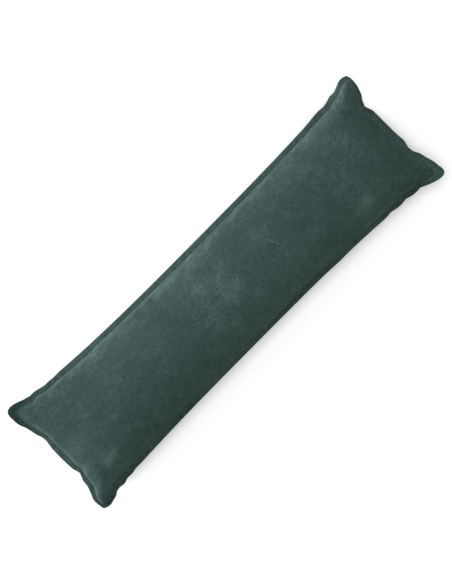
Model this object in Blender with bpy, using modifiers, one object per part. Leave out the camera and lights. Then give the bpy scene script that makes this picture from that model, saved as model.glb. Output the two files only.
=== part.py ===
"""Extra-long lumbar pillow with a narrow sewn flange, lying on its back.

Two pieces: the filled cushion, with a crowned face, drawn-in sides and pointed
corners, and the flange, the doubled border of cloth outside its stitched seam.
The pillow's length runs along X, its width along Y, and it rests on z = 0.
"""
import math

import bmesh
import bpy
from mathutils import Vector

# Driving dimensions, in metres
LENGTH = 1.219              # over the corners
WIDTH = 0.356               # over the corners
FLANGE_WIDTH = 0.0127       # from the stitched seam to the free edge
FLANGE_THICKNESS = 0.0032   # two layers of cloth and their turnings
FLANGE_GAP = 0.0006         # between the seam and the flange

WAIST_LENGTH = 1.180        # over the flange, at the middle of the width
WAIST_WIDTH = 0.2928        # over the flange, at the middle of the length
DRAW_IN = 0.0134            # how far a long side comes back out by DRAW_REACH
DRAW_REACH = 0.507          # from the middle of the length

LEAN = 0.0018               # how far each half of the length lies off the straight line
EAR_LENGTH = 0.052          # the stretch over which a long side flares to its ear
EAR_TIP_ROUND = 0.012       # radius of the flange round an ear

SEAM_HEIGHT = 0.069         # the seam's height above the surface that it lies on
CROWN = 0.076               # from the seam up to the top of the crown
BELLY = 0.076               # from the seam down, before the surface flattens it
EAR_DROOP = 0.007           # how far the seam sinks towards the corners
END_FULLNESS = 9.0          # the higher, the closer the crown comes to the ends
SIDE_FULLNESS = 2.3         # the higher, the closer the crown comes to the long sides

LENGTH_STEPS = 60
WIDTH_STEPS = 22
FLANGE_STEPS = 2

# Each ear, by its end and side: the radius of the seam round it, and where the end
# starts to flare towards it and has flared in full, from the middle of the width
EARS = {
    # (end, side): (seam round, flare from, flare to)
    (-1, 1): (0.014, 0.060, 0.142),
    (1, 1): (0.004, 0.088, 0.150),
    (-1, -1): (0.005, 0.100, 0.146),
    (1, -1): (0.013, 0.076, 0.144),
}

# Ripples where the seam draws the flange in near the corners, in metres
RIPPLES = [
    # edge, sign, place along it, half width, outward, upward
    ("side", 1, -0.540, 0.011, -0.0022, 0.0030),
    ("side", 1, -0.520, 0.010, 0.0026, -0.0020),
    ("side", 1, -0.491, 0.013, -0.0030, 0.0035),
    ("side", 1, -0.455, 0.014, 0.0008, -0.0020),
    ("side", 1, 0.514, 0.011, -0.0022, 0.0030),
    ("side", 1, 0.533, 0.011, 0.0042, -0.0030),
    ("side", -1, -0.547, 0.010, -0.0030, 0.0030),
    ("side", -1, -0.527, 0.010, 0.0014, -0.0025),
    ("side", -1, -0.506, 0.009, -0.0016, 0.0025),
    ("side", -1, -0.491, 0.009, 0.0012, -0.0020),
    ("side", -1, -0.470, 0.011, -0.0018, 0.0030),
    ("side", -1, 0.538, 0.012, -0.0034, 0.0030),
    ("side", -1, 0.515, 0.010, 0.0010, -0.0025),
    ("side", -1, 0.494, 0.012, -0.0046, 0.0035),
    ("end", -1, 0.056, 0.012, -0.0050, 0.0030),
    ("end", -1, -0.062, 0.010, -0.0075, 0.0040),
    ("end", -1, -0.093, 0.014, 0.0016, -0.0030),
    ("end", 1, 0.091, 0.014, -0.0095, 0.0040),
    ("end", 1, -0.042, 0.018, 0.0010, -0.0020),
    ("end", 1, -0.071, 0.011, -0.0042, 0.0030),
]
SEAM_SHARE = 0.55           # how much of a ripple the seam itself follows


def smooth_step(value):
    """Rise from 0 to 1 with level ends."""
    value = min(max(value, 0.0), 1.0)
    return value * value * (3.0 - 2.0 * value)


def ripple(edge, sign, place, column):
    """Sum the ripples of one edge at a place along it: column 0 is outward, 1 upward."""
    total = 0.0
    for row_edge, row_sign, centre, half_width, *amounts in RIPPLES:
        if (row_edge, row_sign) == (edge, sign):
            total += amounts[column] * math.exp(-((place - centre) / half_width) ** 2)
    return total


def rounding(beyond, radius):
    """How far a rounded corner falls short of a square one, past the arc's start."""
    beyond = min(max(beyond, 0.0), radius)
    return radius - math.sqrt(radius * radius - beyond * beyond)


def side_half_width(x, inset):
    """Half the pillow's width at x, at a distance inside its free edge."""
    ear_start = LENGTH / 2 - EAR_LENGTH - 2 * EAR_TIP_ROUND
    drawn = WAIST_WIDTH / 2 + DRAW_IN * (abs(x) / DRAW_REACH) ** 3
    drawn_at_ears = DRAW_IN * ((LENGTH / 2 - EAR_TIP_ROUND) / DRAW_REACH) ** 3
    over_ears = WIDTH / 2 - WAIST_WIDTH / 2 - drawn_at_ears
    return drawn + over_ears * smooth_step((abs(x) - ear_start) / EAR_LENGTH) - inset


def end_half_length(y, end, inset):
    """Half the pillow's length at y, at a distance inside its free edge."""
    _, flare_from, flare_to = EARS[(end, 1 if y > 0 else -1)]
    flare = smooth_step((abs(y) - flare_from) / (flare_to - flare_from))
    return WAIST_LENGTH / 2 + (LENGTH - WAIST_LENGTH) / 2 * flare - inset


def ear(end, side, inset):
    """The arc's radius and the square corner's place, for one ear at an inset."""
    share = inset / FLANGE_WIDTH
    radius = EAR_TIP_ROUND + share * (EARS[(end, side)][0] - EAR_TIP_ROUND)
    corner_x = LENGTH / 2 - inset
    return radius, corner_x, side_half_width(corner_x - radius, inset)


def ear_middle(end, side, inset):
    """The middle of an ear's arc, where its long side and its end meet."""
    radius, corner_x, corner_y = ear(end, side, inset)
    short = radius * (1.0 - math.sqrt(0.5))
    return corner_x - short, corner_y - short


def side_point(share, side, inset):
    """A point on a long side; share runs from -1 at one end to 1 at the other."""
    end = 1 if share > 0 else -1
    radius, corner_x, corner_y = ear(end, side, inset)
    x = share * ear_middle(end, side, inset)[0]
    y = min(side_half_width(x, inset), corner_y)
    y -= rounding(abs(x) - corner_x + radius, radius)
    follows = 1.0 - inset / FLANGE_WIDTH * (1.0 - SEAM_SHARE)
    y += ripple("side", side, x, 0) * follows
    return Vector((x, side * y + LEAN * math.sin(2 * math.pi * x / LENGTH)))


def end_point(share, end, inset):
    """A point on an end; share runs from -1 at one side to 1 at the other."""
    side = 1 if share > 0 else -1
    radius, corner_x, corner_y = ear(end, side, inset)
    y = share * ear_middle(end, side, inset)[1]
    x = min(end_half_length(y, end, inset), corner_x)
    x -= rounding(abs(y) - corner_y + radius, radius)
    follows = 1.0 - inset / FLANGE_WIDTH * (1.0 - SEAM_SHARE)
    x += ripple("end", end, y, 0) * follows
    return Vector((end * x, y))


def closer_to_ends(share, amount=0.72):
    """Spread even steps from -1 to 1 so that they are finer towards both ends."""
    return (1.0 - amount) * share + amount * math.sin(share * math.pi / 2)


def seam_height(along, across):
    """The seam's height, lower towards the corners; both shares run from -1 to 1."""
    return SEAM_HEIGHT - EAR_DROOP * (along * across) ** 4


def face_place(along, across):
    """The place on the cushion's face of a point given as shares of its two sides."""
    low = side_point(along, -1, FLANGE_WIDTH)
    high = side_point(along, 1, FLANGE_WIDTH)
    left = end_point(across, -1, FLANGE_WIDTH)
    right = end_point(across, 1, FLANGE_WIDTH)
    far = (1 + along) / 2
    up = (1 + across) / 2
    corners = Vector((0, 0))
    for end, end_share in ((-1, 1 - far), (1, far)):
        for side, side_share in ((-1, 1 - up), (1, up)):
            corners += end_share * side_share * side_point(end, side, FLANGE_WIDTH)
    return (1 - up) * low + up * high + (1 - far) * left + far * right - corners


def fullness(along, across):
    """The crown's height as a share of its highest, nothing at the seam."""
    lengthwise = 1.0 - abs(along) ** END_FULLNESS
    crosswise = 1.0 - abs(across) ** SIDE_FULLNESS
    return math.sqrt(max(lengthwise * crosswise, 0.0))


def mapped_grid(mesh, columns, rows, place):
    """Add a grid whose points go where place() sends their shares from -1 to 1."""
    made = bmesh.ops.create_grid(mesh, x_segments=columns, y_segments=rows, size=1.0)
    for vert in made["verts"]:
        vert.co = place(vert.co.x, vert.co.y)
    return {face for vert in made["verts"] for face in vert.link_faces}


def material(name, colour, roughness):
    """A plain cloth material."""
    made = bpy.data.materials.new(name)
    made.use_nodes = True
    shader = made.node_tree.nodes["Principled BSDF"]
    shader.inputs["Base Color"].default_value = (*colour, 1.0)
    shader.inputs["Roughness"].default_value = roughness
    shader.inputs["Metallic"].default_value = 0.0
    return made


def finished(name, mesh, surface, collection):
    """Turn a bmesh into a named, smooth-shaded object with its material."""
    data = bpy.data.meshes.new(name)
    mesh.to_mesh(data)
    mesh.free()
    data.shade_smooth()
    data.materials.append(surface)
    made = bpy.data.objects.new(name, data)
    collection.objects.link(made)
    return made


def build_cushion(collection):
    """The filled body: two crowned faces that meet at the seam, the lower one flattened."""

    def top(along, across):
        along, across = closer_to_ends(along), closer_to_ends(across)
        height = seam_height(along, across) + CROWN * fullness(along, across)
        return (*face_place(along, across), height)

    def bottom(along, across):
        along, across = closer_to_ends(along), closer_to_ends(across)
        height = seam_height(along, across) - BELLY * fullness(along, across)
        return (*face_place(along, across), max(height, 0.0))

    mesh = bmesh.new()
    mapped_grid(mesh, LENGTH_STEPS, WIDTH_STEPS, top)
    under = mapped_grid(mesh, LENGTH_STEPS, WIDTH_STEPS, bottom)
    bmesh.ops.reverse_faces(mesh, faces=list(under))
    bmesh.ops.remove_doubles(mesh, verts=mesh.verts, dist=0.00005)
    bmesh.ops.triangulate(mesh, faces=mesh.faces)
    surface = material("suede_face", (0.045, 0.085, 0.079), 0.85)
    return finished("cushion", mesh, surface, collection)


def around():
    """Each place round the pillow, counterclockwise: its edge, sign and share along it."""
    for edge, sign, steps, way in (
        ("side", -1, LENGTH_STEPS, 1),
        ("end", 1, WIDTH_STEPS, 1),
        ("side", 1, LENGTH_STEPS, -1),
        ("end", -1, WIDTH_STEPS, -1),
    ):
        for step in range(steps):
            yield edge, sign, way * closer_to_ends(2 * step / steps - 1)


def rim_point(edge, sign, share, inset):
    """A point of the flange at a distance inside its free edge."""
    if edge == "side":
        flat = side_point(share, sign, inset)
        lift = ripple(edge, sign, flat.x, 1)
    else:
        flat = end_point(share, sign, inset)
        lift = ripple(edge, sign, flat.y, 1)
    return (*flat, seam_height(share, sign) + lift * (1 - inset / FLANGE_WIDTH))


def build_flange(collection):
    """The border: a strip round the seam, given the thickness of its doubled cloth."""
    places = list(around())

    def strip(turn, outward):
        step = round((turn + 1) / 2 * len(places)) % len(places)
        inset = (FLANGE_WIDTH - FLANGE_GAP) * (1 - outward) / 2
        return rim_point(*places[step], inset)

    mesh = bmesh.new()
    mapped_grid(mesh, len(places), FLANGE_STEPS, strip)
    bmesh.ops.remove_doubles(mesh, verts=mesh.verts, dist=0.00005)
    bmesh.ops.recalc_face_normals(mesh, faces=mesh.faces)
    surface = material("suede_flange", (0.050, 0.088, 0.080), 0.9)
    made = finished("flange", mesh, surface, collection)
    cloth = made.modifiers.new("Doubled cloth", "SOLIDIFY")
    cloth.thickness = FLANGE_THICKNESS
    cloth.offset = 0.0
    cloth.use_even_offset = True
    return made


def centre(objects):
    """Move the meshes so that the middle of their shared box is over the origin."""
    points = [vert.co for made in objects for vert in made.data.vertices]
    middle_x = (max(point.x for point in points) + min(point.x for point in points)) / 2
    middle_y = (max(point.y for point in points) + min(point.y for point in points)) / 2
    for point in points:
        point.x -= middle_x
        point.y -= middle_y


for old in list(bpy.data.objects):
    bpy.data.objects.remove(old)
pillow = bpy.data.collections.new("lumbar_pillow")
bpy.context.scene.collection.children.link(pillow)
centre([build_cushion(pillow), build_flange(pillow)])
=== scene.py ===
"""Extra-long lumbar pillow in dark green suede-like cloth, with a narrow stitched flange.

The pillow lies on its back. Its case is laid out as the flat pieces of cloth it is cut
from, held along its stitched seam and filled by a cloth simulation.
"""
import math

import bmesh
import bpy
import numpy as np
from mathutils import Euler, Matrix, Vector, noise
from mathutils.bvhtree import BVHTree


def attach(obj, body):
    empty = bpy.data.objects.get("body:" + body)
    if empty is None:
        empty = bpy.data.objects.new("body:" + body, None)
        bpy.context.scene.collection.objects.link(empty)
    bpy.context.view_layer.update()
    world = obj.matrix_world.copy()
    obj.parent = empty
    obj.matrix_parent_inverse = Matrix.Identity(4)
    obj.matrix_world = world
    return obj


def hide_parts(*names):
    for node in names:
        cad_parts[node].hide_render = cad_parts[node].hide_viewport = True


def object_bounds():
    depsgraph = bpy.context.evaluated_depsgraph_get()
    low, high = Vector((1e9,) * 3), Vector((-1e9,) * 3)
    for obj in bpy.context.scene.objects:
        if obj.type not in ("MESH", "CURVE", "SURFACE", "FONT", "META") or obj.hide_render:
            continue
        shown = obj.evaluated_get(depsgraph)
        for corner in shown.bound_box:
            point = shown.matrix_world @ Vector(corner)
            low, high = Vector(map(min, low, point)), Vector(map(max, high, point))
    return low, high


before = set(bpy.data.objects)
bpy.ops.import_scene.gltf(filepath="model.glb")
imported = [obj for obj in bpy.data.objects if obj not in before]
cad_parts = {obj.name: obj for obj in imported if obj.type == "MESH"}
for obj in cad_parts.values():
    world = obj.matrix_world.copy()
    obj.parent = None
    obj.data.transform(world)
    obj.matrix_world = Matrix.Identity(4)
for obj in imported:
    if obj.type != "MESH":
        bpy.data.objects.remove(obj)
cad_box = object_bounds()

# ---------------------------------------------------------------------------
# Filled case. Two panels of suede-like cloth lie face to face, topstitched
# together a flange's width inside their edge and stuffed with loose fibre, so
# that both faces crown up and the cloth puckers where the seam holds it in.
# ---------------------------------------------------------------------------
FLANGE_WIDTH = 0.0127        # from the seam to the folded edge
LENGTH_CELLS = 192           # cells of cloth along and across a panel
WIDTH_CELLS = 54
FLANGE_CELLS = 2             # cells of cloth from the seam to the folded edge

CROWN_START = 0.070          # the crown that the panels start from, each way
END_FULLNESS = 9.0           # the higher, the closer the crown comes to the ends
SIDE_FULLNESS = 2.3          # the higher, the closer it comes to the long sides
PANEL_EASE = 0.985           # the panels' cut width, as a share of that between the corners
WIDENED_BY = 12              # the higher, the nearer to the ends they widen to the end seams
GATHER = 1.012               # how much longer the cut edge is than the seam it is eased into
SEAM_WANDER = 0.0016         # how far the seam lies above or below its level
SEAM_WANDER_LENGTH = 0.09
SEAM_LEVELLED = 8            # the higher, the nearer to the seam this dies away in the panels

# on the near, far, left and right sides: how much further in the seam lies than it does
# at the corners, and which way in is
SEAM_INSET = [0.0016, 0.0016, 0.0, 0.0034]
SIDE_INWARD = [(0, 1), (0, -1), (1, 0), (-1, 0)]
INSET_REACH = 0.050          # how far from a corner it has come in that much
SEAM_WAVES = [
    # where the seam bends in, or out where that is negative, how far, and how far round
    (-0.585, 0.108, 0.0025, 0.020),
    (-0.588, 0.050, -0.0028, 0.011),
    (-0.585, -0.010, 0.0012, 0.025),
    (-0.585, -0.068, -0.0016, 0.011),
    (-0.585, -0.100, -0.0030, 0.014),
    (-0.400, 0.140, 0.0010, 0.080),
    (0.530, 0.142, 0.0015, 0.015),
]
UNEVEN_START = 0.0008        # how uneven the panels lie before they are filled
UNEVEN_LENGTH = 0.05

CORNERS = [(-1, -1), (-1, 1), (1, -1), (1, 1)]     # which end and which side
CORNER_TUCK = [-0.005, 0.011, 0.006, -0.004]       # how far in the seam is drawn at each
TUCK_REACH = 0.040                                 # how much of the seam is drawn with it

FILL_PRESSURE = 2.2
FILL_IN_MIDDLE = 0.62        # the share of that pressure in the middle of a face
MIDDLE_LENGTH = 6            # the higher, the nearer to the ends and to the long sides
MIDDLE_WIDTH = 3             # that middle reaches
LIMP_CORNER = 0.75           # the share of it that a corner, where little fibre lies, lacks
LIMP_REACH = 0.055           # how far from a corner the filling is short
SETTLE_FRAMES = 30
REACH = 0.030                # the furthest a point of a panel may move as it fills

PUCKERS = [
    # from one to the next along the seam, how far in from it they are deepest, how deep
    (0.026, 0.008, 0.0011),
    (0.080, 0.020, 0.0024),
]
PUCKER_NARROWING = 0.25      # how fast they change on the way in, as a share of along the seam
FINE_PUCKERS = (2.3, 0.5)    # how many times smaller the fine ones among them are, how deep
PUCKER_STRENGTH = (0.6, 0.9)     # how deep they usually are, and how much that varies
PUCKER_FREE = 0.02           # how far from a corner they have reached their depth
PUCKER_LEAST = 0.01          # the share of a pucker's depth under which it is left out


def seam_loop(node):
    """The line where faces that look up meet faces that look down, counterclockwise."""
    mesh = bmesh.new()
    mesh.from_mesh(node.data)
    bmesh.ops.remove_doubles(mesh, verts=mesh.verts, dist=0.00001)
    following = {}
    for edge in mesh.edges:
        if len({face.normal.z > 0 for face in edge.link_faces}) == 2:
            for here, there in (edge.verts, reversed(edge.verts)):
                following.setdefault(here, []).append(there)
    # starting from the near side's left corner
    corner = min(following, key=lambda vert: vert.co.x * 0.3 + vert.co.y)
    loop = [corner, max(following[corner], key=lambda vert: vert.co.x)]
    while len(loop) < len(following):
        loop.append(next(vert for vert in following[loop[-1]] if vert != loop[-2]))
    points = np.array([vert.co[:] for vert in loop])
    mesh.free()
    return points


def corner_numbers(points):
    """Which of a loop's points are its four corners, by end and side."""
    half = np.abs(points).max(axis=0)
    return {
        (end, side): int(np.argmax(points[:, 0] / half[0] * end + points[:, 1] / half[1] * side))
        for end, side in CORNERS
    }


def evenly(points, count):
    """Points a like distance apart on the smooth curve through the given ones."""
    run = np.r_[0, np.cumsum(np.linalg.norm(np.diff(points, axis=0), axis=1))]
    slopes = np.gradient(points, run, axis=0)
    places = np.linspace(0, run[-1], count + 1)
    start = np.clip(np.searchsorted(run, places) - 1, 0, len(run) - 2)
    span = (run[start + 1] - run[start])[:, None]
    t = (places - run[start])[:, None] / span
    return (
        (2 * t**3 - 3 * t**2 + 1) * points[start]
        + (t**3 - 2 * t**2 + t) * span * slopes[start]
        + (3 * t**2 - 2 * t**3) * points[start + 1]
        + (t**3 - t**2) * span * slopes[start + 1]
    )


def wander(places, step, size, seed):
    """Smooth unevenness at each place: bumps about a step long and up to a size high."""
    return size * np.array([
        noise.noise(Vector(place) / step + Vector((seed, 2.7 * seed, 0))) for place in places
    ])


def seam_sides(points):
    """The seam's near, far, left and right sides, each resampled from - to +."""
    corners = corner_numbers(points)
    tips = {corner: points[number].copy() for corner, number in corners.items()}
    for (corner, tip), tuck in zip(tips.items(), CORNER_TUCK):
        distance = np.linalg.norm(points[:, :2] - tip[:2], axis=1)
        inward = -Vector((corner[0], corner[1])).normalized()
        drawn = tuck * np.exp(-((distance / TUCK_REACH) ** 2))
        points[:, :2] += np.outer(drawn, inward)

    def run(first, last):
        count = (corners[last] - corners[first]) % len(points)
        return points[(corners[first] + np.arange(count + 1)) % len(points)]

    near = evenly(run((-1, -1), (1, -1)), LENGTH_CELLS)
    right = evenly(run((1, -1), (1, 1)), WIDTH_CELLS)
    far = evenly(run((1, 1), (-1, 1)), LENGTH_CELLS)[::-1]
    left = evenly(run((-1, 1), (-1, -1)), WIDTH_CELLS)[::-1]
    for number, side in enumerate((near, far, left, right)):
        fade = np.sin(np.linspace(0, math.pi, len(side))) ** 0.5
        side[:, 2] += fade * wander(side, SEAM_WANDER_LENGTH, SEAM_WANDER, number + 1)
        length = np.linalg.norm(side[-1] - side[0])
        from_corner = length * (0.5 - np.abs(np.linspace(-0.5, 0.5, len(side))))
        inset = SEAM_INSET[number] * (1 - np.exp(-((from_corner / INSET_REACH) ** 2)))
        for x, y, bend, reach in SEAM_WAVES:
            away = np.hypot(side[:, 0] - x, side[:, 1] - y)
            inset += bend * np.exp(-((away / reach) ** 2))
        side[:, :2] += np.outer(inset, SIDE_INWARD[number])
    return near, far, left, right


near, far, left, right = seam_sides(seam_loop(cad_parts["cushion"]))
along = np.linspace(-1, 1, LENGTH_CELLS + 1)[:, None]
across = np.linspace(-1, 1, WIDTH_CELLS + 1)[None, :]

# the seam's four sides blended over the face, as a patch of cloth held round its edge
u = (1 + along[..., None]) / 2
v = (1 + across[..., None]) / 2
face = (1 - v) * near[:, None] + v * far[:, None] + (1 - u) * left[None] + u * right[None]
face -= (1 - u) * (1 - v) * near[0] + u * (1 - v) * near[-1]
face -= (1 - u) * v * far[0] + u * v * far[-1]
seam_level = near[LENGTH_CELLS // 2, 2]
held = np.maximum(np.abs(along), np.abs(across)) ** SEAM_LEVELLED
face[..., 2] = seam_level + (face[..., 2] - seam_level) * held

lengthwise = 1 - np.abs(along) ** END_FULLNESS
crosswise = 1 - np.abs(across) ** SIDE_FULLNESS
crown = CROWN_START * np.sqrt(np.clip(lengthwise * crosswise, 0, 1))

# where each point lies on the flat cut cloth, with the seam's own length eased in
long_seam, end_seam = (
    sum(np.linalg.norm(np.diff(side, axis=0), axis=1).sum() for side in pair) / 2 * GATHER
    for pair in ((near, far), (left, right))
)
cut_width = 2 * (cad_box[1][1] - FLANGE_WIDTH - SEAM_INSET[0]) * PANEL_EASE
width_here = cut_width + (end_seam - cut_width) * np.abs(along) ** WIDENED_BY
cut = np.zeros_like(face)
cut[..., 0] = along * long_seam / 2
cut[..., 1] = across * width_here / 2

border = np.ones((LENGTH_CELLS + 1, WIDTH_CELLS + 1), bool)
border[1:-1, 1:-1] = False
top_number = np.arange(border.size).reshape(border.shape)
under_number = top_number.copy()
under_number[1:-1, 1:-1] = border.size + np.arange((~border).sum()).reshape(LENGTH_CELLS - 1, -1)
lift = np.zeros_like(face)
lift[..., 2] = crown
uneven = np.zeros_like(face)
uneven[..., 2] = wander(face.reshape(-1, 3), UNEVEN_LENGTH, UNEVEN_START, 7).reshape(border.shape)
uneven[border] = 0
top_points = (face + lift + uneven).reshape(-1, 3)
under_points = (face - lift + uneven)[~border]


def around(grid):
    """A grid's border in order, from its first corner counterclockwise."""
    return np.concatenate([grid[:-1, 0], grid[-1, :-1], grid[:0:-1, -1], grid[0, :0:-1]])


def sideways(points):
    """The level direction out of a counterclockwise loop at each of its points."""
    heading = np.roll(points, -1, axis=0) - np.roll(points, 1, axis=0)
    out = np.stack([heading[:, 1], -heading[:, 0], 0 * heading[:, 0]], axis=1)
    return out / np.linalg.norm(out, axis=1)[:, None]


def quads(numbers, turned=False):
    """Faces of a grid of point numbers."""
    corners = (numbers[:-1, :-1], numbers[1:, :-1], numbers[1:, 1:], numbers[:-1, 1:])
    found = np.stack([corner.ravel() for corner in corners], axis=1)
    return (found[:, ::-1] if turned else found).tolist()


# the cloth outside the seam, which is one with the panels
ring = around(top_number)
ring_cut = around(cut)
square = np.where(np.isclose(np.abs(ring_cut), np.abs(ring_cut).max(axis=0)), np.sign(ring_cut), 0)
strips, strips_cut = [], []
for cell in range(1, FLANGE_CELLS + 1):
    width = FLANGE_WIDTH * cell / FLANGE_CELLS
    strips.append(top_points[ring] + sideways(top_points[ring]) * width)
    strips_cut.append(ring_cut + square * width)
first_strip = len(top_points) + len(under_points)
strip_number = first_strip + np.arange(FLANGE_CELLS * len(ring)).reshape(FLANGE_CELLS, -1)
strip_number = np.vstack([ring, strip_number])
strip_number = np.hstack([strip_number, strip_number[:, :1]])

case_points = np.vstack([top_points, under_points, *strips])
case_cut = np.vstack([cut.reshape(-1, 3), cut[~border], *strips_cut])
case_faces = quads(top_number) + quads(under_number, turned=True) + quads(strip_number)


def filled_case():
    """The case's points after its panels have filled out against the cloth's own pull."""
    data = bpy.data.meshes.new("case")
    data.from_pydata(case_points.tolist(), [], case_faces)
    case = bpy.data.objects.new("case", data)
    bpy.context.scene.collection.objects.link(case)
    case.shape_key_add(name="Basis")
    flat = case.shape_key_add(name="cut")
    flat.data.foreach_set("co", case_cut.ravel())
    flat.value = 0.0

    held_seam = case.vertex_groups.new(name="seam")
    held_seam.add(ring.tolist(), 1.0, "REPLACE")
    stuffing = case.vertex_groups.new(name="stuffing")
    middle = (1 - np.abs(along) ** MIDDLE_LENGTH) * (1 - np.abs(across) ** MIDDLE_WIDTH)
    push = 1 - (1 - FILL_IN_MIDDLE) * middle
    from_corner = np.linalg.norm(np.abs(cut) - np.abs(cut).max(axis=(0, 1)), axis=2)
    push *= 1 - LIMP_CORNER * np.exp(-((from_corner / LIMP_REACH) ** 2))
    for number, weight in zip(top_number.ravel().tolist(), push.ravel().tolist()):
        stuffing.add([number], weight, "REPLACE")
    for number, weight in zip(under_number[~border].tolist(), push[~border].tolist()):
        stuffing.add([number], weight, "REPLACE")

    cloth = case.modifiers.new("Cloth", "CLOTH")
    settings = cloth.settings
    settings.quality = 6
    settings.mass = 0.02
    settings.tension_stiffness = 20
    settings.compression_stiffness = 20
    settings.shear_stiffness = 8
    settings.bending_stiffness = 0.8
    settings.bending_damping = 0.5
    settings.air_damping = 5
    settings.vertex_group_mass = "seam"
    settings.pin_stiffness = 50
    settings.use_pressure = True
    settings.uniform_pressure_force = FILL_PRESSURE
    settings.vertex_group_pressure = "stuffing"
    settings.rest_shape_key = flat
    settings.effector_weights.gravity = 0
    cloth.collision_settings.use_collision = False
    cloth.collision_settings.use_self_collision = False
    cloth.point_cache.frame_start = 1
    cloth.point_cache.frame_end = SETTLE_FRAMES + 1
    for step in range(1, SETTLE_FRAMES + 1):
        bpy.context.scene.frame_set(step)
    settled = case.evaluated_get(bpy.context.evaluated_depsgraph_get()).data
    moved = np.empty(3 * len(settled.vertices))
    settled.vertices.foreach_get("co", moved)
    moved = moved.reshape(-1, 3)
    bpy.data.objects.remove(case)
    bpy.context.scene.frame_set(1)

    shift = moved - case_points
    distance = np.linalg.norm(shift, axis=1)[:, None]
    return case_points + shift * np.minimum(1, REACH / np.maximum(distance, 1e-9))


def finer(grid):
    """A grid with each cell halved both ways, on the smooth surface through its points."""
    for _ in range(2):
        halfway = np.empty_like(grid[1:])
        halfway[1:-1] = (9 * (grid[1:-2] + grid[2:-1]) - grid[:-3] - grid[3:]) / 16
        halfway[0] = (3 * grid[0] + 6 * grid[1] - grid[2]) / 8
        halfway[-1] = (3 * grid[-1] + 6 * grid[-2] - grid[-3]) / 8
        woven = np.empty((2 * len(grid) - 1, *grid.shape[1:]))
        woven[::2] = grid
        woven[1::2] = halfway
        grid = woven.swapaxes(0, 1)
    return grid


def normals(grid):
    """The upward direction out of a panel at each of its points."""
    across_it = np.cross(np.gradient(grid, axis=0), np.gradient(grid, axis=1))
    return across_it / np.maximum(np.linalg.norm(across_it, axis=2, keepdims=True), 1e-9)


def puckered(grid, flat, facing, seed):
    """A panel with hollows running in from its seam, where the stitches draw it up."""
    normal = normals(grid) * facing
    half = np.abs(flat[..., :2]).max(axis=(0, 1))
    for axis in (0, 1):
        to_seam = half[axis] - np.abs(flat[..., axis])
        for number, (length, peak, depth) in enumerate(PUCKERS):
            hollow = to_seam / peak * np.exp(1 - to_seam / peak)
            rows = np.nonzero(hollow > PUCKER_LEAST)
            beside = flat[..., 1 - axis][rows]
            inward = to_seam[rows] * PUCKER_NARROWING
            places = np.stack([beside, inward, np.sign(flat[..., axis][rows])], axis=1)
            crinkle = wander(places, length, 1.0, seed + number)
            crinkle += wander(places, length / FINE_PUCKERS[0], FINE_PUCKERS[1], seed)
            usual, varied = PUCKER_STRENGTH
            strength = usual + wander(places, length * 5, varied, seed + 5)
            fade = np.clip((half[1 - axis] - np.abs(beside)) / PUCKER_FREE, 0, 1)
            grid[rows] += normal[rows] * (depth * hollow[rows] * crinkle * strength * fade)[:, None]
    return grid


case_shape = filled_case()
fine_cut = finer(cut)
top = finer(case_shape[top_number])
under = puckered(finer(case_shape[under_number]), fine_cut, -1, 33)
under[..., 2] = np.maximum(under[..., 2], 0)     # flat where it rests

fine_border = np.ones(top.shape[:2], bool)
fine_border[1:-1, 1:-1] = False
fine_top = np.arange(fine_border.size).reshape(fine_border.shape)
fine_under = fine_top.copy()
fine_under[~fine_border] = fine_border.size + np.arange((~fine_border).sum())


FOLDS = [
    # a corner's end and side, the seam its filling gathers along (0 an end, 1 a side),
    # how much higher the cloth stands there, and how far into the panel
    (-1, -1, 0, 0.0038, 0.070),
    (1, 1, 1, 0.0045, 0.060),
]
FOLD_EDGE = 0.007            # how far in from a seam the cloth has risen to a fold's height
FOLD_TURN = 0.02             # how wide the slope is from the gathered side to the thin one


def folded(grid, flat):
    """A panel whose filling gathers along one seam of some corners, thin by the other."""
    half = np.abs(flat[..., :2]).max(axis=(0, 1))
    for end, side, seam, height, size in FOLDS:
        inset = half - flat[..., :2] * (end, side)
        away = np.linalg.norm(inset, axis=2)
        toward = np.tanh((inset[..., 1 - seam] - inset[..., seam]) / FOLD_TURN)
        risen = np.clip(inset.min(axis=2) / FOLD_EDGE, 0, 1)
        grid[..., 2] += height * toward * risen * np.exp(-((away / size) ** 2))
    return grid


top = puckered(folded(top, fine_cut), fine_cut, 1, 21)


def piece(name, points, faces, material, **nap):
    """A smooth-shaded mesh object at the origin, with its nap and its painted highlight and shade
    at each point.
    """
    data = bpy.data.meshes.new(name)
    data.from_pydata(points.tolist(), [], faces)
    data.shade_smooth()
    data.materials.append(material)
    for word, values in nap.items():
        data.attributes.new(word, "FLOAT", "POINT").data.foreach_set("value", values.ravel())
    made = bpy.data.objects.new(name, data)
    bpy.context.scene.collection.objects.link(made)
    return made


def linked(tree, kind, settings=(), **inputs):
    """Add a node, set its properties and its inputs, which are values or other sockets."""
    node = tree.nodes.new(kind)
    for key, value in settings:
        setattr(node, key, value)
    for key, value in inputs.items():
        wanted = int(key[1:]) if key[1:].isdigit() else key.replace("_", " ")
        socket = node.inputs[wanted]
        if isinstance(value, bpy.types.NodeSocket):
            tree.links.new(value, socket)
        else:
            socket.default_value = value
    return node


STROKES = [
    # the middle of a line that a finger drew through the nap, its half length, where the
    # middle of its bend lies from there, and how much it raised the nap
    ((0.175, 0.006), 0.026, (-0.075, -0.035), 1.2),
    ((0.185, -0.034), 0.012, (-0.060, 0.012), 0.9),
    ((-0.102, 0.012), 0.016, (0.110, -0.020), 0.9),
    ((-0.285, -0.055), 0.018, (0.090, -0.040), 0.7),
    ((-0.380, 0.065), 0.022, (-0.070, -0.070), 0.5),
]
STROKE_WIDTH = 0.0026
STROKE_WHOLE = 0.4           # share of its half length within which a line is at its strongest

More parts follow.
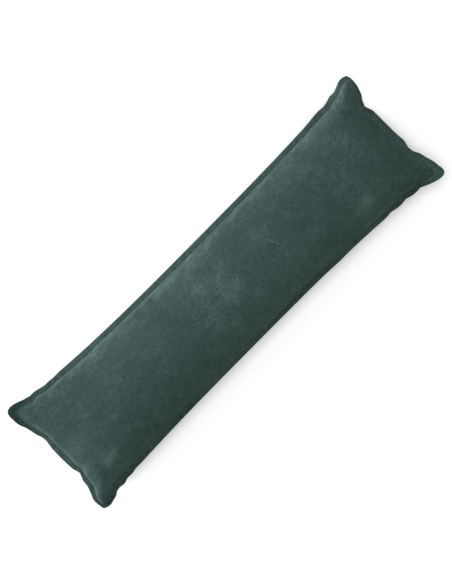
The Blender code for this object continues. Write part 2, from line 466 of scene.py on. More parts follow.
MOTTLE = {
    # each scale on which the nap is uneven: how many times smaller than the clouds it is,
    # its detail and roughness, where its noise starts, and from which value of that noise
    # to which it lightens the cloth, and how much
    "clouds": (1, 3.0, 0.5, (0.3, 0.1, 0.0), (0.28, 0.74, 0.19)),
    "patches": (3.2, 5.0, 0.62, (1.3, 0.7, 0.2), (0.42, 0.78, 0.46)),
    "tufts": (10, 3.0, 0.6, (2.2, 3.1, 0.4), (0.32, 0.68, 0.42)),
    "specks": (26, 3.0, 0.7, (4.1, 2.2, 0.9), (0.32, 0.68, 0.73)),
    "flecks": (70, 2.0, 0.6, (0.7, 5.1, 1.3), (0.40, 0.72, 0.40)),
}
EVEN_LIE = 0.72              # the lightness that speckle is strengthened about
PATCH_LEAST = 0.50           # the share of the fine unevenness that shows between the patches
RAISED_AND_LIT_SHARE = 0.70         # how much the raised nap and the painted highlight and shade lighten or darken the cloth evenly
RUFFLED_SHARE = 0.70         # how much more uneven it makes it
RUFFLED_BASE = -0.58         # what is taken off, so that it gets no lighter by that
RUFFLED_SPECKS = (0.54, 0.70, 0.75)    # the specks that stand out there, as in MOTTLE
MOST_LOOSENED = 0.45         # the raise past which the nap grows no more uneven
SHADE_TINT_COLOUR = (1.0, 1.0, 0.90, 1)     # painted shade tint: what cloth turned away from the light is multiplied by
GRAIN_SCALE = 900            # how many of its grains go to a metre
SPECK_RELIEF = 2.0           # how much higher the specks stand than the grain


def suede(name, dark, light, cloud_scale, speckle):
    """Suede-like cloth: a soft matt nap whose lie changes in clouds, patches and specks, with
    painted highlight and shade from its attributes.
    """
    made = bpy.data.materials.new(name)
    made.use_nodes = True
    tree = made.node_tree
    shader = tree.nodes["Principled BSDF"]
    place = tree.nodes.new("ShaderNodeTexCoord").outputs["Object"]

    def mottle(scale, detail, rough, offset):
        moved = linked(tree, "ShaderNodeMapping", _0=place, Location=offset)
        found = linked(
            tree, "ShaderNodeTexNoise", _0=moved.outputs[0],
            Scale=scale, Detail=detail, Roughness=rough,
        )
        return found.outputs["Fac"]

    def spread(value, low, high, size):
        ranged = linked(
            tree, "ShaderNodeMapRange", (("interpolation_type", "SMOOTHSTEP"),),
            _0=value, From_Min=low, From_Max=high, To_Min=0.0, To_Max=size,
        )
        return ranged.outputs[0]

    def combined(operation, one, other):
        worked = linked(tree, "ShaderNodeMath", (("operation", operation),), _0=one, _1=other)
        return worked.outputs[0]

    def attribute(word):
        named = (("attribute_name", word),)
        return linked(tree, "ShaderNodeAttribute", named).outputs["Fac"]

    def away_from(middle):
        """How far the cloth is from an upright line through a place on the pillow."""
        level = linked(tree, "ShaderNodeMapping", _0=place, Scale=(1, 1, 0)).outputs[0]
        measured = linked(
            tree, "ShaderNodeVectorMath", (("operation", "DISTANCE"),),
            _0=level, _1=(*middle, 0),
        )
        return measured.outputs["Value"]

    noises, lightened = {}, {}
    for word, (smaller, detail, rough, offset, ranges) in MOTTLE.items():
        noises[word] = mottle(cloud_scale * smaller, detail, rough, offset)
        lightened[word] = spread(noises[word], *ranges)

    # the fine unevenness
    rough_lie = combined("ADD", lightened["specks"], lightened["tufts"])
    rough_lie = combined("ADD", rough_lie, lightened["flecks"])
    rough_lie = combined("MULTIPLY", rough_lie, speckle)
    rough_lie = combined("ADD", rough_lie, EVEN_LIE * (1 - speckle))

    # how far the nap is raised, with the lines that a finger drew, and the painted highlight and
    # shade that share its attribute
    nap_and_light = attribute("raised")
    for (middle_x, middle_y), reach, (bend_x, bend_y), raised in STROKES:
        radius = math.hypot(bend_x, bend_y)
        from_bend = away_from((middle_x + bend_x, middle_y + bend_y))
        off_line = combined("ABSOLUTE", combined("SUBTRACT", from_bend, radius), 0.0)
        on_line = spread(off_line, 0.0, STROKE_WIDTH, -raised)
        within = spread(away_from((middle_x, middle_y)), reach, reach * STROKE_WHOLE, 1.0)
        line = combined("MULTIPLY", combined("ADD", on_line, raised), within)
        nap_and_light = combined("ADD", nap_and_light, line)
    ruffled = combined("ADD", combined("MULTIPLY", rough_lie, RUFFLED_SHARE), RUFFLED_BASE)
    ruffled = combined("ADD", ruffled, spread(noises["specks"], *RUFFLED_SPECKS))
    loosened = combined("MAXIMUM", combined("MINIMUM", nap_and_light, MOST_LOOSENED), 0.0)
    ruffled = combined("MULTIPLY", loosened, ruffled)
    nap_and_light_tone = combined("ADD", combined("MULTIPLY", nap_and_light, RAISED_AND_LIT_SHARE), ruffled)

    # all of it together, from the dark colour to the light one
    patched = combined("ADD", lightened["patches"], PATCH_LEAST)
    lie = combined("MULTIPLY", rough_lie, patched)
    total = combined("ADD", combined("ADD", lie, lightened["clouds"]), nap_and_light_tone)
    colour = linked(
        tree, "ShaderNodeMix", (("data_type", "RGBA"), ("clamp_factor", False)),
        _0=total, _6=(*dark, 1), _7=(*light, 1),
    )
    # painted shade: the shaded side's tint, multiplied in where the attribute says
    tinted = linked(
        tree, "ShaderNodeMix", (("data_type", "RGBA"), ("blend_type", "MULTIPLY")),
        _0=attribute("against"), _6=colour.outputs[2], _7=SHADE_TINT_COLOUR,
    )
    tree.links.new(tinted.outputs[2], shader.inputs["Base Color"])

    grain = mottle(GRAIN_SCALE, 2.0, 0.6, (0.0, 0.0, 0.0))
    height = linked(
        tree, "ShaderNodeMath", (("operation", "MULTIPLY_ADD"),),
        _0=noises["specks"], _1=SPECK_RELIEF, _2=grain,
    )
    bump = linked(tree, "ShaderNodeBump", Height=height.outputs[0], Strength=0.35, Distance=0.0006)
    tree.links.new(bump.outputs[0], shader.inputs["Normal"])
    shader.inputs["Roughness"].default_value = 0.92
    shader.inputs["Specular IOR Level"].default_value = 0.25
    shader.inputs["Sheen Weight"].default_value = 0.05
    shader.inputs["Sheen Roughness"].default_value = 0.45
    shader.inputs["Sheen Tint"].default_value = (0.40, 0.78, 0.70, 1)
    return made


PANEL_DARK = (0.0098, 0.0249, 0.0221)
PANEL_LIGHT = (0.0345, 0.0622, 0.0561)
PANEL_CLOUDS = 9.0           # how many of its clouds go to a metre
PANEL_SPECKLE = 1.0
PAINTED_LIGHT_FROM = np.array([-0.47, 0.883, 0.0])    # the level way toward the key light, by which highlight and shade are painted
PAINTED_HIGHLIGHT = 1.4               # painted highlight on cloth that stands steeply toward the light
HIGHLIGHT_SHARP = 4.2            # how steeply it must stand
PAINTED_SHADE = 0.66             # painted shade on cloth that leans steeply away from the light
SHADE_SHARP = 1.6             # how steeply it must lean
PAINTED_SEAM_HIGHLIGHT = (1.15, 0.42)   # painted highlight beside the left and the right end's seam, strongest at the left, which faces the light
SEAM_HIGHLIGHT_REACH = 0.0060
SEAM_HIGHLIGHT_USUAL = 0.8           # the share of that which it usually is
SEAM_HIGHLIGHT_VARIED = (0.03, 0.9)  # over what length that varies, and how much
SEAM_TUFTED = 1.00           # how unevenly it stands beside the far long seam, the one that faces the light
TUFTED_REACH = 0.030
TUFTS = [(0.012, 0.7), (0.028, 1.0)]       # how large those tufts are, and how high
SHADE_TINT_LEAN = (0.26, 0.22)  # the lean to the near side, away from the light, from which the painted shade tint starts, and the further lean over which it comes on
                             # lie, and the further lean over which that comes on
SHADE_TINT_FROM = (-0.52, 0.06)     # where along the pillow that starts, and over what length
BRUSHED_AND_PAINTED = [
    # the middle of a patch of brushed nap, how far it reaches, and how much it is raised, or laid
    # flat where that is negative; the rows marked below are painted highlight and shade instead
    (-0.040, 0.052, 0.024, 0.75),
    (0.030, 0.056, 0.018, 0.45),
    (0.004, 0.022, 0.024, 0.60),
    (0.034, -0.008, 0.020, 0.85),
    (0.006, -0.026, 0.022, 0.50),
    (-0.062, -0.032, 0.026, 0.45),
    (-0.100, 0.118, 0.030, 0.38),
    (0.032, 0.126, 0.024, 0.30),
    (-0.034, 0.104, 0.014, 0.35),
    (-0.018, -0.012, 0.014, 0.45),
    (-0.072, -0.054, 0.012, 0.40),
    (0.156, 0.036, 0.020, 0.36),
    (-0.060, 0.036, 0.042, 0.24),
    (0.040, 0.040, 0.022, 0.24),
    (0.002, 0.096, 0.010, 0.30),
    (-0.060, -0.004, 0.022, 0.18),
    (0.390, -0.136, 0.028, 0.18),
    (0.272, -0.040, 0.028, -0.17),
    (0.385, -0.030, 0.035, 0.17),
    (0.330, -0.082, 0.040, 0.16),
    (0.470, -0.070, 0.040, 0.16),
    (-0.330, -0.080, 0.035, 0.20),
    (-0.455, -0.078, 0.030, 0.16),
    (-0.130, -0.080, 0.040, 0.14),
    (-0.330, 0.142, 0.020, 0.50),
    (-0.330, 0.108, 0.020, -0.22),
    (0.183, -0.020, 0.012, 0.40),
    (-0.500, -0.088, 0.022, 0.65),
    (-0.482, -0.088, 0.011, 0.80),
    (-0.506, -0.092, 0.012, 0.90),
    (-0.570, -0.132, 0.020, 0.18),
    (-0.556, -0.136, 0.018, 0.28),
    (0.570, 0.120, 0.022, 0.18),
    (-0.535, 0.004, 0.020, 0.40),
    (-0.372, 0.010, 0.030, 0.25),
    (0.412, -0.088, 0.024, 0.62),
    (0.422, -0.090, 0.012, 0.50),
    (0.430, 0.002, 0.022, 0.26),
    (0.473, 0.058, 0.022, 0.35),
    # painted highlight: a bright line along the left end's seam, where the light from the left
    # catches it
    (-0.581, -0.068, 0.009, 1.00),
    (-0.582, -0.012, 0.007, 0.40),
    (-0.583, 0.022, 0.007, 0.50),
    (-0.580, 0.082, 0.008, 0.60),
    # painted shade in the crease just inside that bright line, and at the two left corners
    (-0.562, 0.030, 0.036, -0.34),
    (-0.560, -0.100, 0.026, -0.30),
    (-0.562, -0.040, 0.020, -0.15),
    (-0.575, -0.130, 0.018, -0.20),
    (-0.577, 0.150, 0.022, -0.40),
    # painted shade just inside the right end's seam, away from the light
    (0.578, 0.078, 0.026, -0.50),
    (0.570, 0.030, 0.030, -0.40),
    (0.575, -0.040, 0.022, -0.20),
    (0.150, -0.125, 0.100, 0.18),
    (-0.350, -0.138, 0.100, -0.12),
    (-0.020, -0.095, 0.060, 0.25),
    (-0.550, 0.135, 0.060, -0.55),
    (-0.430, 0.110, 0.080, -0.25),
    (0.260, 0.000, 0.050, -0.20),
    (0.070, 0.010, 0.030, -0.25),
    (0.150, 0.110, 0.030, -0.12),
    (-0.400, 0.110, 0.040, -0.14),
    (-0.330, 0.082, 0.030, -0.15),
    (0.090, 0.120, 0.040, -0.35),
    (-0.180, 0.115, 0.050, -0.25),
]


def patched_lightness(points, patches):
    """How far each point is lightened by the listed patches, darkened where negative: handled nap,
    and painted highlight and shade where the tables mark it.
    """
    return sum(
        raised * np.exp(-((np.hypot(points[..., 0] - x, points[..., 1] - y) / size) ** 2))
        for x, y, size, raised in patches
    )


# painted highlight on cloth that faces the key light and painted shade on cloth turned from it,
# added to the nap's own patches below
lean = normals(top) @ PAINTED_LIGHT_FROM
top_nap_and_light = PAINTED_HIGHLIGHT * np.clip(lean, 0, 1) ** HIGHLIGHT_SHARP
top_nap_and_light -= PAINTED_SHADE * np.clip(-lean, 0, 1) ** SHADE_SHARP
to_left = fine_cut[..., 0] - fine_cut[..., 0].min()
to_right = fine_cut[..., 0].max() - fine_cut[..., 0]
# painted highlight: a thin bright band just inside each end's seam
seam_highlight = PAINTED_SEAM_HIGHLIGHT[0] * np.exp(-((to_left / SEAM_HIGHLIGHT_REACH) ** 2))
seam_highlight += PAINTED_SEAM_HIGHLIGHT[1] * np.exp(-((to_right / SEAM_HIGHLIGHT_REACH) ** 2))
upper_points = top.reshape(-1, 3)
seam_highlight *= SEAM_HIGHLIGHT_USUAL + wander(upper_points, *SEAM_HIGHLIGHT_VARIED, 81).reshape(seam_highlight.shape)
to_side = fine_cut[:, -1:, 1] - fine_cut[..., 1]
beside_seam = np.exp(-((to_side / TUFTED_REACH) ** 2))
tufted = wander(upper_points, *TUFTS[0], 83) + wander(upper_points, *TUFTS[1], 84)
tufted = tufted.reshape(seam_highlight.shape) * beside_seam
top_nap_and_light += seam_highlight + SEAM_TUFTED * tufted + patched_lightness(top, BRUSHED_AND_PAINTED)
# painted shade tint on panel cloth turned to the near side, away from the light
against_start, against_over = SHADE_TINT_LEAN
top_against = np.clip((-normals(top)[..., 1] - against_start) / against_over, 0, 1)
top_against *= np.clip((top[..., 0] - SHADE_TINT_FROM[0]) / SHADE_TINT_FROM[1], 0, 1)
lower_points = under[~fine_border]
lower_nap = 0 * lower_points[:, 0]
cushion = piece(
    "cushion_case",
    np.vstack([upper_points, lower_points]),
    quads(fine_top) + quads(fine_under, turned=True),
    suede("panel_cloth", PANEL_DARK, PANEL_LIGHT, PANEL_CLOUDS, PANEL_SPECKLE),
    raised=np.r_[top_nap_and_light.ravel(), lower_nap],
    against=np.r_[top_against.ravel(), lower_nap],
)
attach(cushion, "root")
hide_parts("cushion")

# ---------------------------------------------------------------------------
# Flange. The same two layers of cloth outside the seam, turned in along their
# edge and pressed, so it is a flat double border with a folded rim. Nothing
# fills it, and it ripples where the seam is drawn in.
# ---------------------------------------------------------------------------
FLANGE_SECTION = [
    # share of the width out from the seam, half the thickness there in metres
    (-0.14, 0.0010),
    (-0.02, 0.0015),
    (0.04, 0.0015),
    (0.08, 0.0013),
    (0.13, 0.0015),
    (0.26, 0.0017),
    (0.45, 0.0016),
    (0.65, 0.0016),
    (0.80, 0.0016),
    (0.89, 0.0014),
    (0.95, 0.0011),
    (0.985, 0.0006),
    (1.00, 0.0000),
]
# lighter than the panels' cloth, partly painted light that makes up for the shade the filled body
# casts over the flange
FLANGE_DARK = (0.0150, 0.0330, 0.0290)
FLANGE_LIGHT = (0.0385, 0.0690, 0.0615)
FLANGE_CLOUDS = 14.0         # how many of its clouds go to a metre
FLANGE_SPECKLE = 1.7         # how much stronger its fine unevenness is than the panels'
RIM_RIPPLE = 0.0013          # how far the folded edge rises and falls between the corners
CORNER_RIPPLE = 0.0022       # how much more it does so close to a corner
RIPPLE_LENGTH = 0.042
RIPPLES = (1.4, 0.60)        # how much of it is in long ripples, and in ones a third as long
RIPPLE_REACH = 0.050         # how far from a corner that extra ripple dies away
CURL_BEND = 1.7              # the higher, the nearer to the rim it curls
CURLS = [
    # where the rim curls, how far up or down, and how far round it that reaches
    (-0.600, 0.135, 0.0085, 0.050),
    (0.602, -0.168, 0.0065, 0.040),
    (0.596, 0.130, -0.0080, 0.032),
    (-0.570, -0.170, -0.0050, 0.035),
    (-0.602, -0.168, 0.0025, 0.025),
]
PAINTED_SIDE_SHADE = 0.52             # painted shade on the flange's sides that face away from the light
STREAKS = (0.007, 0.30)      # how far apart and how strong the streaks out across it are
CREASE_LIGHTENING = 0.45             # painted light beside the stitches, lightening the flange where the crease shades it
CREASE_LIGHTENING_REACH = 0.20       # share of the flange's width that this reaches
END_FLANGE_HIGHLIGHT = 0.55              # on the right end, how much lighter the flange is painted at the seam than at the rim
SIDE_SHADE_TINT = (0.3, 0.4)    # how squarely a side must face near, away from the light, to take the painted shade tint, and how much more squarely for it to show in full
                             # and how much more squarely for that to show in full
SHADE_TINT_UNTIL = (0.54, 0.04)     # where along the pillow that has ended, and over what length
FLANGE_BRUSHED_AND_PAINTED = [
    # where the flange's nap is raised, or laid flat, how far round, and how much; the first row is
    # painted shade
    # painted shade where the curled rim at the left corner shades the flange
    (-0.604, 0.145, 0.055, -0.90),
    (0.600, -0.165, 0.028, 0.48),
    (0.530, -0.166, 0.032, -0.60),
    (0.450, -0.160, 0.045, -0.35),
    (0.601, 0.135, 0.030, -0.25),
    (0.560, 0.162, 0.035, 0.45),
    (0.330, 0.155, 0.130, 0.25),
    (-0.585, -0.174, 0.030, -0.60),
    (0.588, -0.020, 0.085, 0.34),
    (-0.596, -0.010, 0.045, -0.25),
    (-0.030, 0.145, 0.140, 0.40),
    (-0.300, 0.155, 0.080, 0.22),
    (-0.335, 0.148, 0.035, 0.40),
    (0.450, 0.158, 0.028, -0.30),
    (-0.480, -0.158, 0.055, -0.32),
    (-0.572, 0.172, 0.018, -0.45),
    (0.578, 0.174, 0.016, -0.30),
    (0.575, -0.174, 0.018, 0.40),
    (0.390, 0.155, 0.035, -0.22),
    (0.150, -0.140, 0.110, -0.34),
    (-0.270, -0.146, 0.040, -0.35),
]
RIM_WAVES = [
    # where the folded edge stands out or is drawn in, how far, and how far round that reaches
    (-0.540, 0.160, 0.0018, 0.012),
    (-0.460, 0.155, -0.0022, 0.014),
    (0.480, 0.155, 0.0020, 0.025),
    (0.536, 0.158, 0.0024, 0.009),
    (0.583, 0.170, 0.0032, 0.012),
    (-0.608, -0.167, -0.0034, 0.018),
    (-0.597, -0.105, 0.0024, 0.022),
    (-0.596, 0.005, 0.0016, 0.035),
    (-0.598, 0.050, -0.0042, 0.008),
    (-0.600, 0.076, 0.0024, 0.010),
    (-0.602, 0.110, -0.0024, 0.016),
    (-0.585, -0.174, 0.0020, 0.009),
    (-0.560, -0.168, 0.0024, 0.012),
    (-0.522, -0.162, 0.0020, 0.014),
    (0.260, -0.142, 0.0014, 0.030),
    (0.442, -0.155, -0.0026, 0.014),
    (0.608, -0.168, 0.0034, 0.014),
    (0.597, -0.097, 0.0036, 0.014),
    (0.596, -0.045, 0.0016, 0.018),
    (0.600, 0.090, -0.0054, 0.007),
    (0.602, 0.109, 0.0030, 0.009),
    (0.606, 0.150, -0.0018, 0.020),
    (0.610, 0.172, -0.0022, 0.009),
]
UNEVEN_PRESSING = (0.016, 0.16)      # over what length the pressed cloth's thickness varies,
FINE_PRESSING = (0.007, 0.14)        # and how much, coarsely and finely
FAN = 4                      # how many points of the seam share in its turn at a corner
RIM_PROBE = 0.001            # the step in which the CAD flange is followed out to its rim
RIM_CLOSE = 0.00002          # how closely that rim is then found


def rim_at(solid, start, out):
    """How far out from the seam the flange ends, and its middle layer's height there."""
    def layers(run):
        place = Vector(start + out * run)
        over = solid.ray_cast(place + Vector((0, 0, 1)), Vector((0, 0, -1)))[0]
        below = solid.ray_cast(place - Vector((0, 0, 1)), Vector((0, 0, 1)))[0]
        return None if over is None or below is None else (over.z + below.z) / 2

    run = 0.0
    while layers(run) is None:
        run += RIM_PROBE
    while layers(run + RIM_PROBE) is not None:
        run += RIM_PROBE
    step = RIM_PROBE / 2
    while step > RIM_CLOSE:
        run += step if layers(run + step) is not None else 0
        step /= 2
    return run, layers(run)


def eased(values, reach):
    """Values round a closed ring, each averaged with those near it."""
    steps = np.arange(-2 * reach, 2 * reach + 1)
    weights = np.exp(-((steps / reach) ** 2))
    shares = [weight * np.roll(values, step, axis=0) for step, weight in zip(steps, weights)]
    return sum(shares) / weights.sum()


flange_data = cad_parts["flange"].data
flange_solid = BVHTree.FromPolygons(
    [vert.co for vert in flange_data.vertices], [face.vertices for face in flange_data.polygons]
)
seam_ring = around(top)
out = eased(sideways(seam_ring), FAN)
out /= np.linalg.norm(out, axis=1)[:, None]
found = np.array([rim_at(flange_solid, *pair) for pair in zip(seam_ring, out)])
width, rim_height = eased(found, 1).T
rim_place = seam_ring + out * width[:, None]
for x, y, standing, round_it in RIM_WAVES:
    away = np.hypot(rim_place[:, 0] - x, rim_place[:, 1] - y)
    width += standing * np.exp(-((away / round_it) ** 2))

tips = seam_ring[list(corner_numbers(seam_ring).values())]
near_tip = np.exp(-((np.linalg.norm(seam_ring[:, None] - tips[None], axis=2) / RIPPLE_REACH) ** 2))
curl = sum(
    rise * np.exp(-((np.hypot(seam_ring[:, 0] - x, seam_ring[:, 1] - y) / round_it) ** 2))
    for x, y, rise, round_it in CURLS
)
ripple = (RIM_RIPPLE + CORNER_RIPPLE * near_tip.max(axis=1)) * (
    wander(seam_ring, RIPPLE_LENGTH, RIPPLES[0], 51)
    + wander(seam_ring, RIPPLE_LENGTH / 3, RIPPLES[1], 52)
)
rim_rise = rim_height - seam_ring[:, 2] + ripple
rise_end = np.stack([0 * rim_rise, 0 * rim_rise, rim_rise], axis=1)
reach = out * width[:, None] + rise_end
turn = np.roll(seam_ring, -1, axis=0) - np.roll(seam_ring, 1, axis=0)
upright = np.cross(reach, turn)
upright /= np.linalg.norm(upright, axis=1)[:, None]
pressing = 1 + wander(seam_ring, *UNEVEN_PRESSING, 61) + wander(seam_ring, *FINE_PRESSING, 62)


def on_flange(share, height):
    """The ring of points at a share of the flange's width, moved off its middle layer."""
    place = seam_ring + reach * share + upright * (height * pressing)[:, None]
    place[:, 2] += curl * max(share, 0) ** CURL_BEND
    return place


upper = [on_flange(share, half) for share, half in FLANGE_SECTION]
lower = [on_flange(share, -half) for share, half in FLANGE_SECTION[-2::-1]]
section = np.stack(upper + lower)

# twice as many points round the seam, on the smooth curve through these
beyond = np.roll(section, 1, axis=1), np.roll(section, -2, axis=1)
halfway = (9 * (section + np.roll(section, -1, axis=1)) - beyond[0] - beyond[1]) / 16
section = np.stack([section, halfway], axis=2).reshape(len(section), -1, 3)
numbers = np.arange(section.shape[0] * section.shape[1]).reshape(section.shape[:2])
numbers = np.vstack([numbers, numbers[:1]])
numbers = np.hstack([numbers, numbers[:, :1]])

flange_nap_and_light = patched_lightness(section, FLANGE_BRUSHED_AND_PAINTED)
# painted shade on the flange's sides turned away from the key light
side_shade = PAINTED_SIDE_SHADE * np.clip(out @ PAINTED_LIGHT_FROM, -1, 0)
flange_nap_and_light += np.repeat(side_shade + wander(seam_ring, *STREAKS, 71), 2)
shares = [share for share, _ in FLANGE_SECTION]
shares = np.array(shares + shares[-2::-1])
# painted light that makes up for the crease's shade beside the seam
flange_nap_and_light += CREASE_LIGHTENING * np.exp(-((shares / CREASE_LIGHTENING_REACH) ** 2))[:, None]
# painted highlight beside the right end's seam, darker toward the rim
to_end = np.repeat(np.clip(out[:, 0], 0, 1), 2)
flange_nap_and_light += END_FLANGE_HIGHLIGHT * np.outer(0.5 - shares, to_end)
# painted shade tint on the flange's near side, away from the light
against_start, against_over = SIDE_SHADE_TINT
faces_near = np.clip((-out[:, 1] - against_start) / against_over, 0, 1)
flange_against = flange_nap_and_light * 0 + np.repeat(faces_near, 2)
flange_against *= np.clip((SHADE_TINT_UNTIL[0] - section[..., 0]) / SHADE_TINT_UNTIL[1], 0, 1)
flange = piece(
    "flange_border",
    section.reshape(-1, 3),
    quads(numbers),
    suede("flange_cloth", FLANGE_DARK, FLANGE_LIGHT, FLANGE_CLOUDS, FLANGE_SPECKLE),
    raised=flange_nap_and_light,
    against=flange_against,
)
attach(flange, "root")
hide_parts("flange")

# ---------------------------------------------------------------------------
# Topstitching. Spun polyester thread, dyed to match the cloth, sewn by machine
# through both layers of the flange in one line close beside the filling, so
# that its stitches show on the upper and on the under side.
# ---------------------------------------------------------------------------
STITCH_PITCH = 0.0032
STITCH_LENGTH = 0.0027
STITCH_WIDTH = 0.0006
STITCH_PLACE = 0.09          # share of the flange's width out from the seam
STITCH_SINK = 0.0001         # how far the middle of the thread lies under the cloth's face
STITCH_ASKEW = (0.10, 0.06, 0.10)      # the most a stitch is turned about each of its axes
THREAD_DARK = (0.022, 0.041, 0.038, 1)
THREAD_LIGHT = (0.048, 0.081, 0.075, 1)


def stitch_tree(material):
    """Geometry Nodes that lay thread stitches end to end along a line."""
    tree = bpy.data.node_groups.new("stitches", "GeometryNodeTree")
    face_of = tree.interface
    face_of.new_socket("Geometry", in_out="INPUT", socket_type="NodeSocketGeometry")
    for name in ("Pitch", "Stitch length", "Thread width"):
        face_of.new_socket(name, in_out="INPUT", socket_type="NodeSocketFloat")
    face_of.new_socket("Geometry", in_out="OUTPUT", socket_type="NodeSocketGeometry")
    given = tree.nodes.new("NodeGroupInput").outputs
    line = linked(tree, "GeometryNodeMeshToCurve", _0=given["Geometry"]).outputs[0]
    spaced = linked(tree, "GeometryNodeResampleCurve", _0=line)
    spaced.mode = "LENGTH"
    tree.links.new(given["Pitch"], spaced.inputs["Length"])
    heading = tree.nodes.new("GeometryNodeInputTangent").outputs[0]
    headed = linked(tree, "GeometryNodeCaptureAttribute", _0=spaced.outputs[0])
    headed.capture_items.new("VECTOR", "Heading")
    tree.links.new(heading, headed.inputs["Heading"])
    turned = linked(
        tree, "FunctionNodeAlignEulerToVector", (("axis", "X"),), Vector=headed.outputs["Heading"],
    )
    askew = linked(
        tree, "FunctionNodeRandomValue", (("data_type", "FLOAT_VECTOR"),),
        _0=tuple(-most for most in STITCH_ASKEW), _1=STITCH_ASKEW, Seed=3,
    )
    rotated = linked(
        tree, "FunctionNodeRotateEuler", (("space", "LOCAL"),),
        _0=turned.outputs[0], Rotate_By=askew.outputs[0],
    )
    ball = linked(tree, "GeometryNodeMeshUVSphere", Segments=8, Rings=5, Radius=0.5)
    size = linked(
        tree, "ShaderNodeCombineXYZ",
        _0=given["Stitch length"], _1=given["Thread width"], _2=given["Thread width"],
    )
    laid = linked(
        tree, "GeometryNodeInstanceOnPoints", _0=headed.outputs[0],
        Instance=ball.outputs[0], Rotation=rotated.outputs[0], Scale=size.outputs[0],
    )
    solid = linked(tree, "GeometryNodeRealizeInstances", _0=laid.outputs[0])
    smooth = linked(tree, "GeometryNodeSetShadeSmooth", _0=solid.outputs[0])
    dressed = linked(tree, "GeometryNodeSetMaterial", _0=smooth.outputs[0], Material=material)
    tree.links.new(dressed.outputs[0], tree.nodes.new("NodeGroupOutput").inputs[0])
    return tree


def thread():
    """Spun polyester thread, dyed to the cloth."""
    made = bpy.data.materials.new("stitch_thread")
    made.use_nodes = True
    shader = made.node_tree.nodes["Principled BSDF"]
    place = made.node_tree.nodes.new("ShaderNodeTexCoord").outputs["Object"]
    plied = linked(made.node_tree, "ShaderNodeTexNoise", _0=place, Scale=1400.0, Detail=1.0)
    colour = linked(
        made.node_tree, "ShaderNodeMix", (("data_type", "RGBA"),),
        _0=plied.outputs["Fac"], _6=THREAD_DARK, _7=THREAD_LIGHT,
    )
    made.node_tree.links.new(colour.outputs[2], shader.inputs["Base Color"])
    shader.inputs["Roughness"].default_value = 0.55
    return made


sewn_height = np.interp(STITCH_PLACE, *zip(*FLANGE_SECTION)) - STITCH_SINK
lines = np.stack([on_flange(STITCH_PLACE, sewn_height), on_flange(STITCH_PLACE, -sewn_height)])
count = len(seam_ring)
edges = [
    (row * count + place, row * count + (place + 1) % count)
    for row in range(2)
    for place in range(count)
]
guide_mesh = bpy.data.meshes.new("stitch_line")
guide_mesh.from_pydata(lines.reshape(-1, 3).tolist(), edges, [])
guide = bpy.data.objects.new("stitch_line", guide_mesh)
bpy.context.scene.collection.objects.link(guide)
sewing = guide.modifiers.new("Stitches", "NODES")
sewing.node_group = stitch_tree(thread())
sizes = {"Pitch": STITCH_PITCH, "Stitch length": STITCH_LENGTH, "Thread width": STITCH_WIDTH}
for item in sewing.node_group.interface.items_tree:
    if item.name in sizes:
        sewing[item.identifier] = sizes[item.name]
sewn = bpy.data.meshes.new_from_object(guide.evaluated_get(bpy.context.evaluated_depsgraph_get()))
bpy.data.objects.remove(guide)
topstitching = bpy.data.objects.new("topstitching", sewn)
bpy.context.scene.collection.objects.link(topstitching)
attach(topstitching, "root")

# the ring of points halfway across the flange, on its middle layer
middle = on_flange(0.5, 0)

# ---------------------------------------------------------------------------
# Studio. A plain pale floor under even white light, a wide soft light overhead
# and one low on the left of the view, and a long lens straight above the
# pillow, which lies across the frame.
# ---------------------------------------------------------------------------
FLOOR_COLOUR = (0.93, 0.93, 0.93, 1)
FLOOR_SIZE = 60
FLOOR_LEVEL = -0.0004                # just clear of the cloth that lies on it
PILLOW_TURN = math.radians(44.7)     # of the pillow's length, from the frame's width

bpy.ops.mesh.primitive_plane_add(size=FLOOR_SIZE, location=(0, 0, FLOOR_LEVEL))
floor = bpy.context.object
floor.name = "studio_floor"
paper = bpy.data.materials.new("floor_paper")
paper.use_nodes = True
paper.node_tree.nodes["Principled BSDF"].inputs["Base Color"].default_value = FLOOR_COLOUR
paper.node_tree.nodes["Principled BSDF"].inputs["Roughness"].default_value = 0.9
floor.data.materials.append(paper)

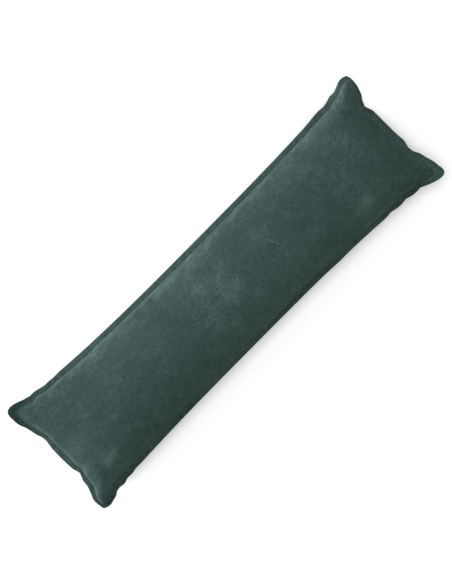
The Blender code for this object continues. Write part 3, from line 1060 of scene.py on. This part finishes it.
EVEN_LIGHT = 0.54
world = bpy.data.worlds.new("studio")
world.use_nodes = True
world.node_tree.nodes["Background"].inputs["Color"].default_value = (1, 1, 1, 1)
world.node_tree.nodes["Background"].inputs["Strength"].default_value = EVEN_LIGHT
bpy.context.scene.world = world

OVERHEAD_LIGHT = 1.94
OVERHEAD_WIDTH = math.radians(50)    # across the sky, so that its shadows are soft
overhead = bpy.data.lights.new("overhead", "SUN")
overhead.energy = OVERHEAD_LIGHT
overhead.angle = OVERHEAD_WIDTH
bpy.context.scene.collection.objects.link(bpy.data.objects.new("overhead", overhead))

KEY_LIGHT = 214
KEY_COLOUR = (0.97, 1.0, 1.08)
KEY_BEARING = math.radians(172)      # anticlockwise from the right of the view
KEY_HEIGHT = math.radians(15)
KEY_DISTANCE = 3.8
KEY_SIZE = 2.0
key = bpy.data.lights.new("key", "AREA")
key.energy = KEY_LIGHT
key.size = KEY_SIZE
key.color = KEY_COLOUR
key_light = bpy.data.objects.new("key", key)
toward = Vector((
    math.cos(KEY_BEARING - PILLOW_TURN) * math.cos(KEY_HEIGHT),
    math.sin(KEY_BEARING - PILLOW_TURN) * math.cos(KEY_HEIGHT),
    math.sin(KEY_HEIGHT),
))
key_light.location = toward * KEY_DISTANCE
key_light.rotation_euler = (-toward).to_track_quat("-Z", "Y").to_euler()
key_light.visible_camera = False
bpy.context.scene.collection.objects.link(key_light)

FRAME_HEIGHT = 1.479                 # of what the camera sees, at the seam's level
FRAME_CENTRE = (0.0016, -0.0004)     # the place that the camera is right above
LENS = 200.0
SENSOR = 36.0
lens = bpy.data.cameras.new("camera")
lens.lens = LENS
lens.sensor_width = SENSOR
lens.clip_end = 100
camera = bpy.data.objects.new("camera", lens)
camera.location = (*FRAME_CENTRE, seam_level + FRAME_HEIGHT * LENS / SENSOR)
camera.rotation_euler = Euler((0, 0, -PILLOW_TURN))
bpy.context.scene.collection.objects.link(camera)
bpy.context.scene.camera = camera
bpy.context.scene.view_settings.view_transform = "Standard"
